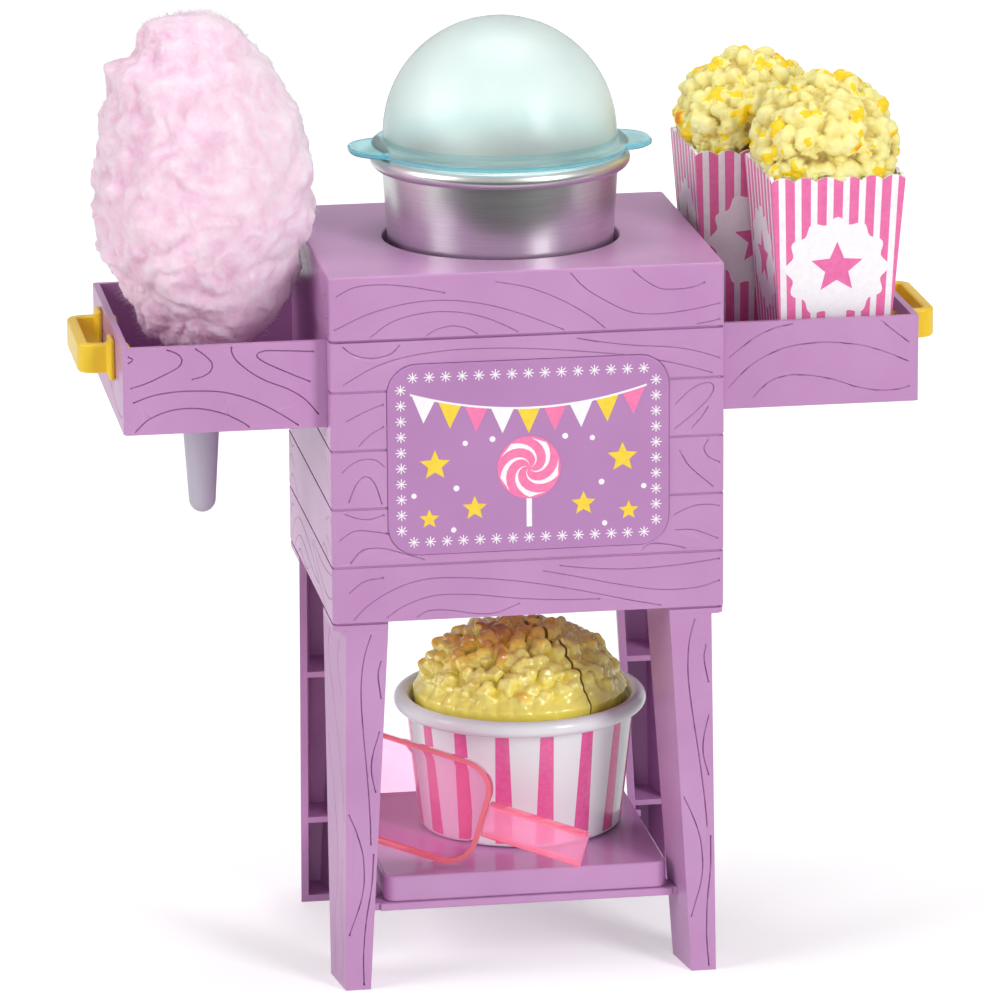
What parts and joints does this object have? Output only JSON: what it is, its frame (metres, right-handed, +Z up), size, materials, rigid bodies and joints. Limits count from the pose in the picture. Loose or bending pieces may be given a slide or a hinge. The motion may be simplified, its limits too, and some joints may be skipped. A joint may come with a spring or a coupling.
{
  "type": "toy cotton candy cart",
  "caption": "Doll-size purple food stand on channel legs with side drawers, a domed pot, a lower shelf, and pretend cotton candy, popcorn and scoop",
  "frame": {"origin": "On the floor, at the middle of the whole stand with its drawers pulled out", "axes": "+X to the right as seen from the front, +Y to the back, +Z up; the sign faces -Y"},
  "size_m": [0.2866, 0.1138, 0.3199],
  "materials": {
    "purple_plastic": "moulded satin purple plastic with engraved wood grain",
    "printed_panel": "printed satin panel",
    "yellow_plastic": "moulded yellow plastic",
    "screw_steel": "plain steel",
    "silver_metal": "satin spun metal",
    "teal_plastic": "frosted translucent teal plastic",
    "white_plastic": "white plastic with printed pink stripes",
    "pink_plastic": "translucent pink plastic",
    "popcorn_resin": "painted cast resin",
    "cone_plastic": "smooth pale plastic",
    "floss_fibre": "teased polyester fibre",
    "printed_card": "card with printed pink stripes"
  },
  "bodies": {
    "stand": {"front_left_leg": "purple_plastic", "front_right_leg": "purple_plastic", "rear_left_leg": "purple_plastic", "rear_right_leg": "purple_plastic", "base_plate": "purple_plastic", "leg_screws": "screw_steel", "shelf_ledge": "purple_plastic", "shelf_panel": "purple_plastic", "cabinet_shell": "purple_plastic", "sign_panel": "printed_panel", "drawer_deck": "purple_plastic", "counter_top": "purple_plastic", "counter_screws": "screw_steel"},
    "left_tray": {"left_drawer": "purple_plastic", "left_handle": "yellow_plastic"},
    "right_tray": {"right_drawer": "purple_plastic", "right_handle": "yellow_plastic"},
    "cotton_candy": {"candy_cone": "cone_plastic", "candy_floss": "floss_fibre"},
    "front_popcorn": {"front_box": "printed_card", "front_box_popcorn": "popcorn_resin"},
    "rear_popcorn": {"rear_box": "printed_card", "rear_box_popcorn": "popcorn_resin"},
    "cooker_pot": {"pot": "silver_metal"},
    "lid": {"dome_lid": "teal_plastic"},
    "tub": {"popcorn_tub": "white_plastic", "popcorn_heap": "popcorn_resin"},
    "wedge": {"popcorn_wedge": "popcorn_resin"},
    "hand_scoop": {"scoop": "pink_plastic"}
  },
  "joints": [
    {"name": "left_drawer_slide", "type": "slide", "parent": "stand", "child": "left_tray", "axis": [-1, 0, 0], "range_m": [0, 0.018]},
    {"name": "right_drawer_slide", "type": "slide", "parent": "stand", "child": "right_tray", "axis": [1, 0, 0], "range_m": [0, 0.018]},
    {"name": "cotton_candy_lift", "type": "slide", "parent": "left_tray", "child": "cotton_candy", "axis": [0, 0, 1], "range_m": [0, 0.1]},
    {"name": "front_box_lift", "type": "slide", "parent": "right_tray", "child": "front_popcorn", "axis": [0, 0, 1], "range_m": [0, 0.06]},
    {"name": "rear_box_lift", "type": "slide", "parent": "right_tray", "child": "rear_popcorn", "axis": [0, 0, 1], "range_m": [0, 0.06]},
    {"name": "pot_lift", "type": "slide", "parent": "stand", "child": "cooker_pot", "axis": [0, 0, 1], "range_m": [0, 0.05]},
    {"name": "lid_lift", "type": "slide", "parent": "cooker_pot", "child": "lid", "axis": [0, 0, 1], "range_m": [0, 0.08]},
    {"name": "tub_pull", "type": "slide", "parent": "stand", "child": "tub", "axis": [-0.2334, 0.9724, 0], "range_m": [0, 0.13]},
    {"name": "wedge_lift", "type": "slide", "parent": "tub", "child": "wedge", "axis": [0, 0, 1], "range_m": [0, 0.012]},
    {"name": "scoop_pull", "type": "slide", "parent": "stand", "child": "hand_scoop", "axis": [0.7828, -0.6222, 0], "range_m": [0, 0.06]}
  ]
}
